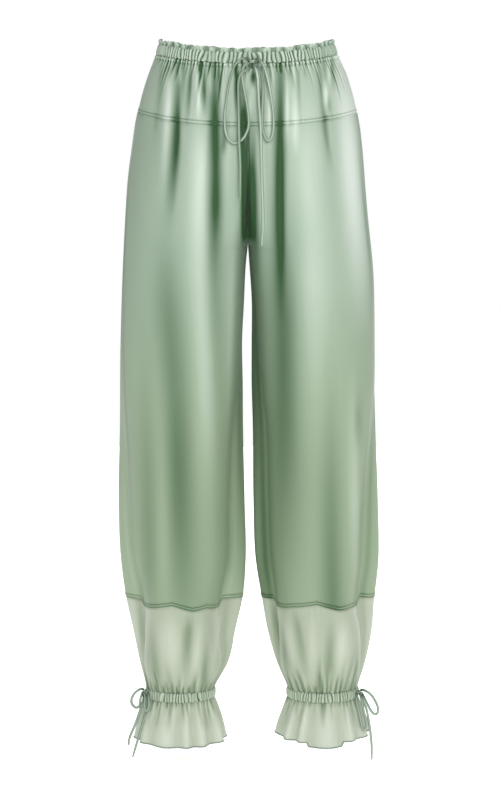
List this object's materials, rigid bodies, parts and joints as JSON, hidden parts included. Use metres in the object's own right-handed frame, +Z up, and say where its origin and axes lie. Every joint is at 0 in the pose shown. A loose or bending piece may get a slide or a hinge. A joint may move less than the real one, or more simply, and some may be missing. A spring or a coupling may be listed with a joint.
{
  "type": "trousers",
  "caption": "Wide-legged satin trousers with a gathered drawstring waist, a yoke, and sheer lower legs drawn in at tied, frilled ankles.",
  "frame": {"origin": "centre of the waist ring, at the middle height of the waist casing at the sides", "axes": "+Z up along the body, front of the trousers towards -Y, +X to the right as seen from the front"},
  "size_m": [0.3837, 0.2418, 1.0587],
  "materials": {
    "satin": "silk satin, soft sheen",
    "organza": "silk organza, sheer",
    "cord": "flat satin tie"
  },
  "bodies": {
    "root": {"waist_frill": "satin", "waist_casing": "satin", "yoke_front": "satin", "yoke_back": "satin", "leg_front_L": "satin", "leg_front_R": "satin", "leg_back_L": "satin", "leg_back_R": "satin", "sheer_front_L": "organza", "sheer_front_R": "organza", "sheer_back_L": "organza", "sheer_back_R": "organza", "ankle_casing_L": "organza", "ankle_casing_R": "organza", "ankle_frill_L": "organza", "ankle_frill_R": "organza", "waist_knot": "cord", "waist_loop_L": "cord", "waist_loop_R": "cord", "waist_tail_L": "cord", "waist_tail_R": "cord", "ankle_knot_L": "cord", "ankle_knot_R": "cord", "ankle_loop_outer_L": "cord", "ankle_loop_inner_L": "cord", "ankle_tail_short_L": "cord", "ankle_tail_long_L": "cord", "ankle_loop_outer_R": "cord", "ankle_loop_inner_R": "cord", "ankle_tail_long_R": "cord"}
  },
  "joints": []
}
